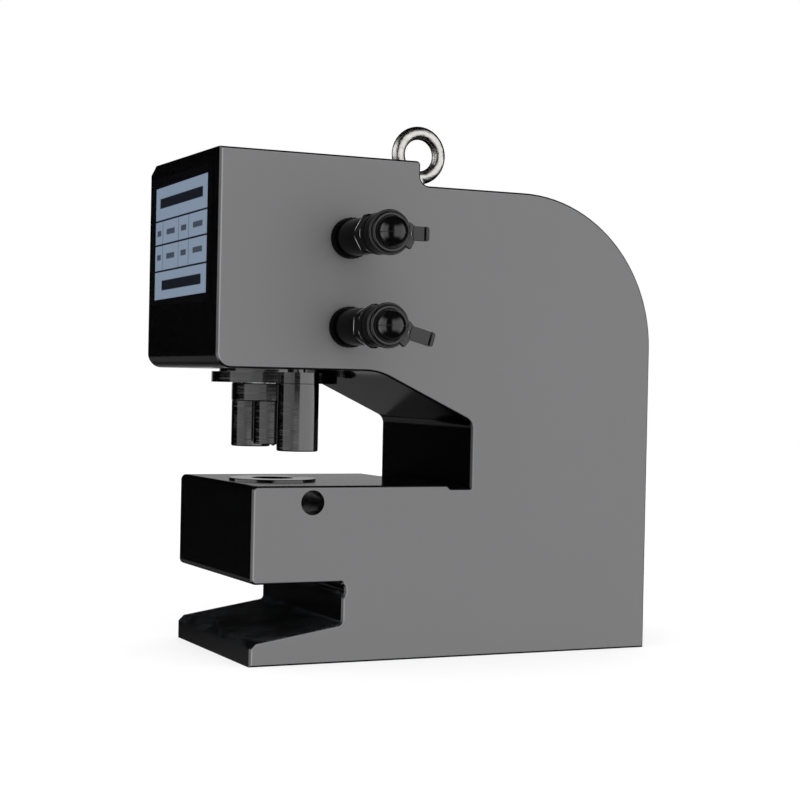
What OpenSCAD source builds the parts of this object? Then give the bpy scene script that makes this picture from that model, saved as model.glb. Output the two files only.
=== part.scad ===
// Hydraulic punching machine: a steel C-frame whose head is bored as a double-acting
// cylinder, with a screwed punch, a die in the lower jaw, two stripping posts,
// a lifting eye and two capped hose couplers.
// Origin: where the punch axis meets the base. +X runs to the back, +Z up,
// and the hose couplers stand out of the -Y side.

/* [Frame] */
// Height of the head's top above the base
frame_h = 440; // [425:1:470]
// Thickness of the frame from side to side
frame_w = 193; // [185:1:215]
// Distance from the punch axis forward to the head's front face
head_front = 90; // [88:1:100]
// Distance from the punch axis back to the step behind the head
head_back = 97; // [90:1:105]
// Distance from the punch axis back to the rear face
rear_reach = 340; // [325:1:370]
// Height of the rear deck, behind the step
rear_h = 418.6; // [405:0.1:420]
// Radius of the rear top corner
rear_r = 138; // [110:1:150]
// Height of the head's underside
head_z = 254; // [250:1:262]
// Throat depth, from the punch axis to the back of the throat
throat_depth = 153; // [145:1:165]
// Drop of the sloping throat roof
roof_drop = 43.5; // [36:0.5:50]
// Distance from the punch axis back to where the roof starts to slope
roof_start = 60; // [56:1:66]
// Height of the lower jaw's top face
jaw_top = 154; // [150:1:158]
// Thickness of the lower jaw
jaw_t = 84; // [80:1:88]
// Distance from the punch axis forward to the jaw's and foot's front
jaw_front = 55.2; // [50:0.1:62]
// Distance from the punch axis back to the end of the slot under the jaw
slot_depth = 29.5; // [26:0.5:36]
// Height of the foot at its front edge
foot_h = 21; // [18:0.5:24]
// Rise of the foot's chute from its front edge to the slot's end
chute_rise = 13; // [10:0.5:16]
// Bevel along the edges of both side faces
side_bevel = 2.3; // [1.5:0.1:3]
// Radius under the front of the head
head_r = 13; // [8:0.5:16]
// Fillet at the foot of the step behind the head
step_r = 9; // [6:0.5:11]
// Width of the wide bevel on the head's far top edge, across the frame
far_bevel_w = 17; // [12:1:20]
// Height of the wide bevel on the head's far top edge
far_bevel_h = 9; // [6:0.5:11]

/* [Cylinder] */
// Bore of the cylinder
bore_d = 130; // [124:1:132]
// Height of the blind end of the bore
bore_top = 380; // [378:1:390]
// Diameter of the piston rod
rod_d = 60; // [56:0.5:61]
// Stroke of the ram
ram_stroke = 36; // [30:0.5:36]
// Height of the gland, from the head's underside to its upper face
gland_t = 30; // [28:0.5:31]
// Thread diameter of the gland nut
gland_d = 148; // [144:1:150]
// Diameter of the gland's raised face under the head
gland_face_d = 100; // [96:1:104]
// Height of the gland's raised face
gland_face_t = 2.6; // [1.5:0.1:3]

/* [Punch and die] */
// Diameter of the punch
punch_d = 36.5; // [24:0.5:37]
// Height of the retracted punch's lower face
punch_z = 186.6; // [185:0.2:190]
// Outside diameter of the punch nut
nut_d = 77; // [73:0.2:77.6]
// Height of the punch nut
nut_h = 16.2; // [15:0.2:18]
// Diametral clearance between punch and die
die_gap = 1.5; // [0.8:0.1:2]
// Outside diameter of the die
die_d = 79; // [72:0.5:84]
// Height of the die
die_h = 30; // [26:0.5:32]
// How far the die stands above the jaw
die_stand = 1.8; // [1:0.1:3]
// Diameter of the slug hole through the jaw
slug_d = 48; // [46:0.5:56]
// Thread diameter of the screw that clamps the die from the side
die_screw_d = 21.3; // [18:0.1:22]
// Height of the die clamping screw above the base
die_screw_z = 139.6; // [137:0.2:142]
// Length of the die clamping screw's thread
die_screw_l = 30; // [24:0.5:34]

/* [Stripper] */
// Diameter of the round stripper plate
plate_d = 114; // [108:1:118]
// Thickness of the stripper plate
plate_t = 9.6; // [8:0.1:11]
// Distance from the punch axis to each stripping post
post_y = 58; // [57.4:0.2:60]
// Diameter of each stripping post
post_d = 36.5; // [34:0.5:38]
// Height of each post's lower end above the base
post_z = 182.4; // [180:0.2:186]

/* [Lifting eye] */
// Distance from the punch axis back to the lifting eye
eye_x = 140.5; // [128:0.5:160]
// Diameter of the eye's wire
eye_wire = 12.4; // [11:0.1:14]
// Inside diameter of the eye
eye_in = 29.4; // [28:0.1:34]
// Height of the collar and neck under the ring
eye_neck = 12.4; // [10:0.1:15]
// Thread diameter of the eye's shank
eye_thread = 12; // [10:0.5:14]

/* [Hose couplers] */
// Distance from the punch axis back to both couplers
port_x = 29; // [26:0.5:34]
// Height of the upper coupler's axis
port_up_z = 368.2; // [367:0.2:372]
// Height of the lower coupler's axis
port_low_z = 291.4; // [289.6:0.2:293]
// Outside diameter of the knurled collar
knurl_d = 36.5; // [36:0.5:40]
// Length of the knurled collar
knurl_l = 8.6; // [7:0.2:11]
// Diameter of the coupler's sleeve, between the knurled collar and the hexagon
sleeve_d = 32; // [30:0.5:32.5]
// Distance from the side face to the hexagon
hex_at = 50; // [47:0.5:54]
// Width across the hexagon's flats
hex_af = 33; // [32:0.5:36]
// Length of the hexagon
hex_l = 11.5; // [10:0.5:13]
// Diameter of the plain ring in front of the hexagon
ring_d = 35.5; // [33:0.5:36.5]
// Length of the plain ring in front of the hexagon
ring_l = 20.5; // [18:0.5:22]
// Diameter of the coupler's nose, under the cap
nose_d = 22; // [20:0.5:22.5]
// Length of the coupler's nose
nose_l = 9; // [8:0.5:10]
// Diameter of the dust cap's flange
cap_d = 38; // [37:0.5:42]
// Diameter of the dust cap's step, between its flange and its dome
cap_step_d = 33.5; // [32:0.5:35]
// Diameter of the dust cap's dome
dome_d = 26; // [25:0.5:28]
// Length of the upper cap's pull tab, from the coupler's axis
tab_up_reach = 35.5; // [33:0.5:40]
// Length of the lower cap's pull tab, from the coupler's axis
tab_low_reach = 43.3; // [38:0.1:46]
// How far the lower cap's pull tab points down, in degrees
tab_low_turn = 15; // [10:1:20]

/* [Label plate] */
// Length of the label plate across the front face
label_l = 158; // [140:1:162]
// Height of the label plate
label_h = 116; // [100:1:120]
// Thickness of the label plate
label_t = 1; // [0.6:0.1:1.5]
// Offset of the label plate towards the far side
label_off = 6.5; // [0:0.5:8]
// Height of the label plate's middle
label_z = 369; // [360:1:372]

/* [Hidden] */
$fn = 96;
// Overrun of every cut past the face that it opens
over = 0.5;
// Radial clearance of threads and of pieces that stay put
fit_gap = 0.15;
// Radial clearance of pieces that slide or turn in each other
run_gap = 0.08;
// Radial clearance of a seal against the face that it wipes
seal_gap = 0.05;
// Number of sides of the hexagon sockets and heads
hex_sides = 6;
// Angle by which a hollow corner's bevel runs on into the straight ones
lap_turn = 3;

// Frame details
jaw_r = 5;
jaw_bottom = jaw_top - jaw_t;
foot_bevel = 5;
roof_r = 56;
throat_r = 10;
notch_depth = 3;
notch_l = 20;
notch_r = 1.2;
top_back_r = 3.4;
chute_r = 4;
slot_relief_r = 7.5;
slot_relief_out = 2.7;

// Cylinder details
gland_top = head_z + gland_t;
pilot_h = 8;
pilot_step = 4;
pilot_d = gland_d - 2 * pilot_step;
port_thread_d = 16.6;
port_thread_l = 18;
oil_hole_d = 8;
end_gap = 0.5;
port_clear = 2.5;
stroke_spare = 2;
piston_top = port_up_z - oil_hole_d / 2 - port_clear;
piston_t = piston_top - gland_top - ram_stroke - stroke_spare;
boss_d = 84;
nose_thread_d = 42;
nose_thread_l = 8;
edge_break = 1;
seal_h = 8;
seal_depth = 6;
guide_h = 12;
guide_depth = 3;
land = 4;

// Gland details
// How far the gland's seat is cut down into the roof, where the roof starts to slope
gland_relief = (gland_d / 2 + fit_gap - roof_start) * roof_drop / (throat_depth - roof_start) + over;
rod_seal_h = 7;
rod_seal_depth = 5;
wiper_h = 5;
wiper_depth = 4;
wiper_at = 3;
seal_land = 5;
o_ring_d = 4;
lock_screw_d = 6;
lock_screw_l = 12;
spanner_hole_d = 8;
spanner_hole_t = 8;
spanner_ring_r = gland_face_d / 2 + spanner_hole_d;

// Punch details
punch_head_d = 41.6;
punch_head_h = 5;
tip_d = 7;
tip_h = 2;
tommy_d = 4;
tommy_depth = 4;
nut_turn = 69;
head_play = 0.1;
nut_lip = nut_h - nose_thread_l - punch_head_h - head_play;

// Die details
die_land = 12;
die_relief = 1.5;
die_socket_d = 15;
die_socket_t = 4;
die_dog_l = 3.5;
screw_socket_af = 10;
screw_socket_t = 12;

// Stripper details
plate_top = head_z - gland_face_t;
plate_z = plate_top - plate_t;
plate_rod_gap = 2;
plate_hole_d = rod_d + 2 * plate_rod_gap;
nut_gap = 0.4;
rod_end_z = plate_z - nut_gap;
plate_screw_d = 6;
plate_screw_x = 28.5;
plate_screw_y = 29;
plate_screw_head_d = 10;
plate_screw_head_t = 6;
plate_screw_l = 12;
plate_screw_af = 5;
post_screw_d = 12;
post_screw_head_d = 18;
post_screw_head_t = 12;
post_screw_cup_t = 14;
post_screw_grip = 22;
post_screw_af = 10;

// Lifting eye details
eye_collar_d = 24;
eye_collar_t = 5;
eye_thread_l = 22;
eye_r = (eye_in + eye_wire) / 2;

// Coupler details, as distances out from the side face
washer_t = 1.5;
washer_d = 25;
shoulder_d = 30;
knurl_at = washer_t / 2;
knurl_teeth = 40;
knurl_cut = 0.9;
snap_t = 1.2;
snap_d = 32.4;
snap_play = 0.4;
shoulder_end = knurl_at + knurl_l + snap_t + snap_play;
body_at = shoulder_end;
body_thread_d = 20;
body_thread_l = 38;
hex_r = hex_af / 2 / cos(180 / hex_sides);
hex_face_cut = 0.3;
hex_low_turn = 30;
hex_face_r = hex_af / 2 - hex_face_cut;
chamber_d = 15;
mouth_wall = 4;
mouth_d = 9;
ring_groove_w = 2;
ring_at = hex_at + hex_l;
nose_at = ring_at + ring_l;
nose_end = nose_at + nose_l;
poppet_d = 13.6;
poppet_l = 9;
stem_d = 4;
stem_l = 9;
pin_d = 5;
pin_l = 5;
valve_seal_t = 1.6;
spring_wire = 1.2;
spring_d = 9;
cap_flange_t = 2.5;
cap_step_t = 2.4;
tab_t = 2.5;
tab_w = 12;
tab_root_w = 18;
tab_root_l = 4;
tab_end_r = 2.5;
tab_grip_l = 4.5;
tab_grip_t = 4.2;
tab_hole_l = 3.6;
tab_hole_w = 3;
lug_turn = 27;
lug_w = 8;
lug_t = 4;
lug_reach = 3.6;
cap_seat_gap = 0.4;
dome_rise = 7.6;
cap_at = nose_at + cap_seat_gap;
dome_at = cap_at + dome_rise;

// Label details
label_r = 2;

function unit(v) = v / norm(v);
function turn_z(a, b) = a[0] * b[1] - a[1] * b[0];

// The frame's outline, anticlockwise from the foot, as [x, z, corner radius]
frame_corners = [
    [-jaw_front, 0, 0],
    [rear_reach, 0, 0],
    [rear_reach, rear_h, rear_r],
    [head_back, rear_h, step_r],
    [head_back, frame_h, top_back_r],
    [-head_front, frame_h, 0],
    [-head_front, head_z, head_r],
    [roof_start, head_z, roof_r],
    [throat_depth, head_z - roof_drop, throat_r],
    [throat_depth, jaw_top - notch_depth, notch_r],
    [throat_depth - notch_l, jaw_top - notch_depth, notch_r],
    [throat_depth - notch_l - notch_depth, jaw_top, 0],
    [-jaw_front, jaw_top, jaw_r],
    [-jaw_front, jaw_bottom, jaw_r],
    [slot_depth, jaw_bottom, notch_r],
    [slot_depth, foot_h + chute_rise, chute_r],
    [-jaw_front + foot_bevel, foot_h, 0],
    [-jaw_front, foot_h - foot_bevel, 0]
];
corner_count = len(frame_corners);
function at(i) = let (c = frame_corners[(i + corner_count) % corner_count]) [c[0], c[1]];
function radius(i) = frame_corners[(i + corner_count) % corner_count][2];
function back_dir(i) = unit(at(i - 1) - at(i));
function next_dir(i) = unit(at(i + 1) - at(i));
function opening(i) = acos(back_dir(i) * next_dir(i));
function is_hollow(i) = turn_z(-back_dir(i), next_dir(i)) < 0;
function trim(i) = radius(i) / tan(opening(i) / 2);
function centre(i) = at(i) + unit(back_dir(i) + next_dir(i)) * radius(i) / sin(opening(i) / 2);
function arc_start(i) = at(i) + back_dir(i) * trim(i);
function arc_end(i) = at(i) + next_dir(i) * trim(i);
slot_relief = [slot_depth + slot_relief_out - slot_relief_r, jaw_bottom - slot_relief_r];
rounded = [for (i = [0:corner_count - 1]) if (radius(i) > 0) i];

// The sliver between a corner and the arc that rounds it, run on past the corner
module corner_patch(i) {
    difference() {
        polygon([at(i) + unit(at(i) - centre(i)) * over, arc_start(i), centre(i), arc_end(i)]);
        translate(centre(i)) circle(r = radius(i));
    }
}

module frame_outline() {
    difference() {
        union() {
            polygon([for (i = [0:corner_count - 1]) at(i)]);
            for (i = rounded) if (is_hollow(i)) corner_patch(i);
        }
        for (i = rounded) if (!is_hollow(i)) corner_patch(i);
        translate(slot_relief) circle(r = slot_relief_r);
    }
}

// Triangular cutter for a bevel, with the edge at the origin and open space at +x, +y
module bevel_shape(b) {
    polygon([[-b - over, over], [over, -b - over], [over, over]]);
}

module edge_bevels() {
    for (i = [0:corner_count - 1]) {
        run = at(i + 1) - at(i);
        reach = norm(run) - trim(i) - trim(i + 1);
        head = radius(i) > 0 ? 0 : over;
        tail = radius(i + 1) > 0 ? 0 : over;
        translate([arc_end(i)[0], arc_end(i)[1], frame_w / 2])
            rotate([0, 0, atan2(run[1], run[0])]) translate([-head, 0, 0])
                rotate([90, 0, 90]) linear_extrude(reach + head + tail)
                    mirror([1, 0]) bevel_shape(side_bevel);
    }
    for (i = rounded) {
        from = (is_hollow(i) ? arc_end(i) : arc_start(i)) - centre(i);
        lap = is_hollow(i) ? lap_turn : 0;
        translate([centre(i)[0], centre(i)[1], frame_w / 2])
            rotate([0, 0, atan2(from[1], from[0]) - lap])
                rotate_extrude(angle = 180 - opening(i) + 2 * lap)
                    translate([radius(i), 0]) mirror([is_hollow(i) ? 1 : 0, 0])
                        bevel_shape(side_bevel);
    }
    translate([slot_relief[0], slot_relief[1], frame_w / 2])
        rotate_extrude() translate([slot_relief_r, 0]) mirror([1, 0]) bevel_shape(side_bevel);
}

module frame_block() {
    rotate([90, 0, 0]) difference() {
        linear_extrude(frame_w, center = true) frame_outline();
        edge_bevels();
        mirror([0, 0, 1]) edge_bevels();
        translate([-head_front - over, frame_h, -frame_w / 2])
            rotate([90, 0, 90]) linear_extrude(head_front + head_back + 2 * over)
                polygon([[over, -over], [-far_bevel_h - over, -over], [-far_bevel_h, 0],
                    [0, far_bevel_w], [over, far_bevel_w]]);
    }
}

// A cylinder along -Y out of the near side face, from one distance to another
module out_of_side(x, z, from, to, d) {
    translate([x, -frame_w / 2 - from, z]) rotate([90, 0, 0]) cylinder(d = d, h = to - from);
}

module c_frame() color([0.06, 0.06, 0.065]) difference() {
    frame_block();
    // Cylinder bore, gland pilot and gland thread
    translate([0, 0, head_z]) cylinder(d = bore_d, h = bore_top - head_z);
    translate([0, 0, head_z]) cylinder(d = pilot_d + 2 * fit_gap, h = gland_t);
    translate([0, 0, head_z - gland_relief])
        cylinder(d = gland_d + 2 * fit_gap, h = gland_t - pilot_h + gland_relief);
    // Half of the gland's lock screw stands in the head
    translate([-gland_d / 2, 0, head_z - over])
        cylinder(d = lock_screw_d + 2 * fit_gap, h = lock_screw_l + over);
    // Oil ports
    for (z = [port_up_z, port_low_z]) {
        out_of_side(port_x, z, -port_thread_l - over, over, port_thread_d + 2 * fit_gap);
        out_of_side(port_x, z, -frame_w / 2 + bore_d / 4, 0, oil_hole_d);
    }
    // Die seat, slug hole and die screw hole
    translate([0, 0, jaw_top + die_stand - die_h])
        cylinder(d = die_d + 2 * fit_gap, h = die_h);
    translate([0, 0, jaw_bottom - over])
        cylinder(d = slug_d, h = jaw_t + over - (die_h - die_stand) + over);
    out_of_side(0, die_screw_z, -frame_w / 2 + die_d / 4, over, die_screw_d + 2 * fit_gap);
    // Eye bolt hole
    translate([eye_x, 0, rear_h - eye_thread_l - edge_break])
        cylinder(d = eye_thread + 2 * fit_gap, h = eye_thread_l + edge_break + over);
}

module label_plate() color([0.62, 0.68, 0.76])
    translate([-head_front, label_off, label_z]) rotate([0, -90, 0])
        linear_extrude(label_t) difference() {
            square([label_h, label_l], center = true);
            for (sx = [-1, 1], sy = [-1, 1])
                translate([sx * (label_h / 2 - label_r), sy * (label_l / 2 - label_r)])
                    mirror([sx < 0 ? 1 : 0, 0]) mirror([0, sy < 0 ? 1 : 0]) difference() {
                        square(label_r + over);
                        circle(label_r);
                    }
        }

module eye_bolt() color([0.72, 0.72, 0.7]) translate([eye_x, 0, rear_h]) {
    translate([0, 0, -eye_thread_l]) cylinder(d = eye_thread, h = eye_thread_l);
    cylinder(d = eye_collar_d, h = eye_collar_t);
    translate([0, 0, eye_collar_t])
        cylinder(d1 = eye_collar_d - 2 * edge_break, d2 = eye_wire, h = eye_neck - eye_collar_t);
    translate([0, 0, eye_neck]) cylinder(d = eye_wire, h = eye_wire / 2);
    translate([0, 0, eye_neck + eye_r + eye_wire / 2]) rotate([90, 0, 0])
        rotate_extrude() translate([eye_r, 0]) circle(d = eye_wire);
}

// A plain ring, standing on its lower face
module ring(d_out, d_in, h) difference() {
    cylinder(d = d_out, h = h);
    translate([0, 0, -over]) cylinder(d = d_in, h = h + 2 * over);
}

seal_groove_z = piston_top - land - seal_h;
guide_groove_z = piston_top - piston_t + land;

module piston_rod() color([0.75, 0.76, 0.78]) difference() {
    union() {
        translate([0, 0, piston_top - piston_t])
            cylinder(d = bore_d - 2 * run_gap, h = piston_t);
        translate([0, 0, piston_top])
            cylinder(d = boss_d, h = bore_top - end_gap - piston_top);
        translate([0, 0, rod_end_z])
            cylinder(d = rod_d, h = piston_top - piston_t - rod_end_z);
        translate([0, 0, rod_end_z - nose_thread_l])
            cylinder(d = nose_thread_d, h = nose_thread_l);
    }
    translate([0, 0, seal_groove_z]) ring(bore_d + over, bore_d - 2 * seal_depth, seal_h);
    translate([0, 0, guide_groove_z]) ring(bore_d + over, bore_d - 2 * guide_depth, guide_h);
}

module piston_seal() color([0.1, 0.1, 0.11]) translate([0, 0, seal_groove_z + run_gap])
    ring(bore_d - 2 * seal_gap, bore_d - 2 * seal_depth + 2 * fit_gap, seal_h - 2 * run_gap);

module piston_guide_ring() color([0.5, 0.36, 0.2]) translate([0, 0, guide_groove_z + run_gap])
    ring(bore_d - 2 * seal_gap, bore_d - 2 * guide_depth + 2 * fit_gap, guide_h - 2 * run_gap);

wiper_z = plate_top + wiper_at;
rod_seal_z = wiper_z + wiper_h + seal_land;
o_ring_z = gland_top - pilot_h / 2;

module gland_nut() color([0.14, 0.14, 0.15]) difference() {
    union() {
        translate([0, 0, plate_top]) cylinder(d = gland_face_d, h = gland_face_t);
        translate([0, 0, head_z]) cylinder(d = gland_d, h = gland_t - pilot_h);
        translate([0, 0, head_z]) cylinder(d = pilot_d, h = gland_t);
    }
    translate([0, 0, plate_top - over])
        cylinder(d = rod_d + 2 * run_gap, h = gland_t + gland_face_t + 2 * over);
    translate([0, 0, rod_seal_z]) cylinder(d = rod_d + 2 * rod_seal_depth, h = rod_seal_h);
    translate([0, 0, wiper_z]) cylinder(d = rod_d + 2 * wiper_depth, h = wiper_h);
    translate([0, 0, o_ring_z]) rotate_extrude()
        translate([pilot_d / 2 - o_ring_d / 2, 0]) circle(d = o_ring_d + 2 * fit_gap, $fn = 32);
    translate([-gland_d / 2, 0, head_z - over])
        cylinder(d = lock_screw_d + 2 * fit_gap, h = lock_screw_l + over);
    for (turn = [45:90:315]) rotate([0, 0, turn])
        translate([spanner_ring_r, 0, head_z - over])
            cylinder(d = spanner_hole_d, h = spanner_hole_t + over);
    for (sx = [-1, 1], sy = [-1, 1])
        translate([sx * plate_screw_x, sy * plate_screw_y, plate_top - over])
            cylinder(d = plate_screw_d + 2 * fit_gap, h = plate_screw_l + over);
    for (sy = [-1, 1]) translate([0, sy * post_y, head_z - over])
        cylinder(d = post_screw_d + 2 * fit_gap, h = post_screw_grip + over);
}

module gland_o_ring() color([0.08, 0.08, 0.08]) translate([0, 0, o_ring_z]) rotate_extrude()
    translate([pilot_d / 2 - o_ring_d / 2, 0]) circle(d = o_ring_d, $fn = 32);

module rod_seal() color([0.2, 0.35, 0.6]) translate([0, 0, rod_seal_z + run_gap])
    ring(rod_d + 2 * rod_seal_depth - 2 * fit_gap, rod_d + 2 * seal_gap, rod_seal_h - 2 * run_gap);

module rod_wiper() color([0.35, 0.1, 0.08]) translate([0, 0, wiper_z + run_gap])
    ring(rod_d + 2 * wiper_depth - 2 * fit_gap, rod_d + 2 * seal_gap, wiper_h - 2 * run_gap);

// A hexagon socket, cut upwards from the origin
module hex_socket(af, depth) cylinder(d = af / cos(180 / hex_sides), h = depth, $fn = hex_sides);

module gland_lock_screw() color([0.1, 0.1, 0.1])
    translate([-gland_d / 2, 0, head_z + edge_break]) difference() {
        cylinder(d = lock_screw_d, h = lock_screw_l - 2 * edge_break);
        translate([0, 0, -over]) hex_socket(lock_screw_d / 2, lock_screw_l / 3 + over);
    }

module punch_nut() color([0.16, 0.16, 0.17])
    translate([0, 0, rod_end_z - nut_h]) difference() {
        rotate_extrude() polygon([[0, 0], [nut_d / 2 - edge_break, 0], [nut_d / 2, edge_break],
            [nut_d / 2, nut_h - edge_break], [nut_d / 2 - edge_break, nut_h], [0, nut_h]]);
        translate([0, 0, -over]) cylinder(d = punch_d + 4 * fit_gap, h = nut_h + 2 * over);
        translate([0, 0, nut_lip]) cylinder(d = nose_thread_d + 2 * fit_gap, h = nut_h);
        for (turn = [nut_turn:90:nut_turn + 270]) rotate([0, 0, turn])
            translate([nut_d / 2 - tommy_depth, 0, nut_h / 4])
                rotate([0, 90, 0]) cylinder(d = tommy_d, h = tommy_depth + over, $fn = 32);
    }

punch_head_z = rod_end_z - nose_thread_l - punch_head_h;

module punch() color([0.2, 0.2, 0.21]) rotate_extrude() polygon([
    [0, punch_z - tip_h], [tip_d / 2, punch_z], [punch_d / 2 - edge_break / 2, punch_z],
    [punch_d / 2, punch_z + edge_break / 2], [punch_d / 2, punch_head_z],
    [punch_head_d / 2, punch_head_z], [punch_head_d / 2, punch_head_z + punch_head_h],
    [0, punch_head_z + punch_head_h]
]);

die_z = jaw_top + die_stand - die_h;

module die() color([0.3, 0.3, 0.31]) difference() {
    translate([0, 0, die_z]) rotate_extrude() polygon([
        [0, 0], [die_d / 2 - edge_break, 0], [die_d / 2, edge_break],
        [die_d / 2, die_h - edge_break / 2], [die_d / 2 - edge_break / 2, die_h], [0, die_h]
    ]);
    translate([0, 0, die_z - over]) cylinder(d = punch_d + die_gap, h = die_h + 2 * over);
    translate([0, 0, die_z - over])
        cylinder(d = punch_d + die_gap + 2 * die_relief, h = die_h - die_land + over);
    translate([0, -die_d / 2 + die_socket_t, die_screw_z]) rotate([90, 0, 0])
        cylinder(d = die_socket_d, h = die_socket_t + over);
}

module die_lock_screw() color([0.35, 0.35, 0.36])
    translate([0, -die_d / 2 - 2 * fit_gap, die_screw_z]) rotate([90, 0, 0]) difference() {
        union() {
            cylinder(d = die_screw_d, h = die_screw_l);
            translate([0, 0, -die_dog_l])
                cylinder(d = die_socket_d - 4 * fit_gap, h = die_dog_l);
        }
        translate([0, 0, die_screw_l - screw_socket_t])
            hex_socket(screw_socket_af, screw_socket_t + over);
    }

module stripper_plate() color([0.12, 0.12, 0.13]) translate([0, 0, plate_z]) difference() {
    union() {
        cylinder(d = plate_d, h = plate_t);
        for (sy = [-1, 1]) translate([0, sy * post_y, 0]) cylinder(d = post_d, h = plate_t);
    }
    translate([0, 0, -over]) cylinder(d = plate_hole_d, h = plate_t + 2 * over);
    for (sy = [-1, 1]) translate([0, sy * post_y, -over])
        cylinder(d = post_screw_d + 2 * fit_gap, h = plate_t + 2 * over);
    for (sx = [-1, 1], sy = [-1, 1])
        translate([sx * plate_screw_x, sy * plate_screw_y, -over]) {
            cylinder(d = plate_screw_d + 4 * fit_gap, h = plate_t + 2 * over);
            cylinder(d = plate_screw_head_d + 4 * fit_gap,
                h = plate_screw_head_t + edge_break / 2 + over);
        }
}

// A socket-head cap screw, its head's lower face at the origin and its thread upwards
module cap_screw(d, head_d, head_t, grip, af) difference() {
    union() {
        cylinder(d = head_d, h = head_t);
        cylinder(d = d, h = head_t + grip);
    }
    translate([0, 0, -over]) hex_socket(af, head_t / 2 + over);
}

module stripper_plate_screws() color([0.1, 0.1, 0.1])
    for (sx = [-1, 1], sy = [-1, 1])
        translate([sx * plate_screw_x, sy * plate_screw_y, plate_z + edge_break / 2])
            cap_screw(plate_screw_d, plate_screw_head_d, plate_screw_head_t,
                plate_t - plate_screw_head_t + plate_screw_l - 2 * edge_break, plate_screw_af);

module stripper_post(side) color([0.2, 0.2, 0.21]) translate([0, side * post_y, 0])
    difference() {
        rotate_extrude() polygon([
            [0, post_z], [post_d / 2 - edge_break, post_z], [post_d / 2, post_z + edge_break],
            [post_d / 2, plate_z - edge_break / 2], [post_d / 2 - edge_break / 2, plate_z],
            [0, plate_z]
        ]);
        translate([0, 0, post_z - over])
            cylinder(d = post_screw_d + 4 * fit_gap, h = plate_z - post_z + 2 * over);
        translate([0, 0, post_z - over])
            cylinder(d = post_screw_head_d + 4 * fit_gap, h = post_screw_cup_t + over);
    }

module stripper_post_near() stripper_post(-1);
module stripper_post_far() stripper_post(1);

module stripper_post_screws() color([0.1, 0.1, 0.1]) for (sy = [-1, 1])
    translate([0, sy * post_y, post_z + post_screw_cup_t - post_screw_head_t])
        cap_screw(post_screw_d, post_screw_head_d, post_screw_head_t,
            head_z - post_z - post_screw_cup_t + post_screw_grip - 2 * edge_break,
            post_screw_af);

// Puts a coupler piece, drawn along +Z from the side face, on its port
module on_port(z) translate([port_x, -frame_w / 2, z]) rotate([90, 0, 0]) children();

module port_adapter() color([0.12, 0.12, 0.12]) difference() {
    union() {
        translate([0, 0, -port_thread_l]) cylinder(d = port_thread_d, h = port_thread_l + washer_t);
        translate([0, 0, washer_t]) cylinder(d = shoulder_d, h = shoulder_end - washer_t);
        translate([0, 0, washer_t])
            cylinder(d = body_thread_d, h = body_at + body_thread_l - washer_t);
    }
    translate([0, 0, -port_thread_l - over])
        cylinder(d = oil_hole_d, h = port_thread_l + body_at + body_thread_l + 2 * over);
    translate([0, 0, shoulder_end - snap_t - fit_gap])
        ring(shoulder_d + over, shoulder_d - 2 * edge_break, snap_t + fit_gap);
}

module sealing_washer() color([0.75, 0.6, 0.35])
    ring(washer_d, port_thread_d + 2 * fit_gap, washer_t);

module knurled_collar() color([0.1, 0.1, 0.1]) translate([0, 0, knurl_at]) difference() {
    rotate_extrude() polygon([
        [shoulder_d / 2 + run_gap, 0], [knurl_d / 2 - edge_break, 0], [knurl_d / 2, edge_break],
        [knurl_d / 2, knurl_l - edge_break], [knurl_d / 2 - edge_break, knurl_l],
        [shoulder_d / 2 + run_gap, knurl_l]
    ]);
    for (i = [0:knurl_teeth - 1]) rotate([0, 0, i * 360 / knurl_teeth])
        translate([knurl_d / 2, 0, -over]) rotate([0, 0, 45])
            translate([-knurl_cut / 2, -knurl_cut / 2, 0])
                cube([knurl_cut, knurl_cut, knurl_l + 2 * over]);
}

module snap_ring() color([0.5, 0.5, 0.5])
    translate([0, 0, shoulder_end - snap_t - fit_gap / 2])
        ring(snap_d, shoulder_d - 2 * edge_break + 2 * fit_gap, snap_t);

module coupler_body() color([0.7, 0.7, 0.7]) difference() {
    union() {
        translate([0, 0, body_at]) cylinder(d = sleeve_d, h = hex_at - body_at);
        translate([0, 0, hex_at]) intersection() {
            cylinder(r = hex_r, h = hex_l, $fn = hex_sides);
            rotate_extrude() polygon([
                [0, 0], [hex_face_r, 0], [hex_r + hex_face_cut, edge_break + hex_face_cut],
                [hex_r + hex_face_cut, hex_l - edge_break - hex_face_cut], [hex_face_r, hex_l],
                [0, hex_l]
            ]);
        }
        translate([0, 0, ring_at]) cylinder(d = ring_d, h = ring_l);
        translate([0, 0, nose_at]) cylinder(d = nose_d, h = nose_l);
    }
    translate([0, 0, body_at - over])
        cylinder(d = body_thread_d + 2 * fit_gap, h = body_thread_l + edge_break + over);
    translate([0, 0, body_at + body_thread_l])
        cylinder(d = chamber_d, h = nose_end - mouth_wall - body_at - body_thread_l);
    translate([0, 0, nose_end - mouth_wall - over])
        cylinder(d = mouth_d, h = mouth_wall + 2 * over);
    translate([0, 0, ring_at + ring_l / 3])
        ring(ring_d + over, ring_d - 2 * edge_break, ring_groove_w);
}

poppet_z = nose_end - mouth_wall - valve_seal_t - run_gap - poppet_l;

module valve_poppet() color([0.72, 0.6, 0.3]) difference() {
    union() {
        translate([0, 0, poppet_z]) cylinder(d = poppet_d, h = poppet_l);
        translate([0, 0, poppet_z - stem_l]) cylinder(d = stem_d, h = stem_l);
        translate([0, 0, poppet_z + poppet_l])
            cylinder(d = pin_d, h = valve_seal_t + run_gap + pin_l);
    }
    for (turn = [0:90:270]) rotate([0, 0, turn])
        translate([chamber_d / 2, 0, poppet_z - over])
            cylinder(d = poppet_d / 3, h = poppet_l - edge_break + over, $fn = 32);
}

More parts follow.
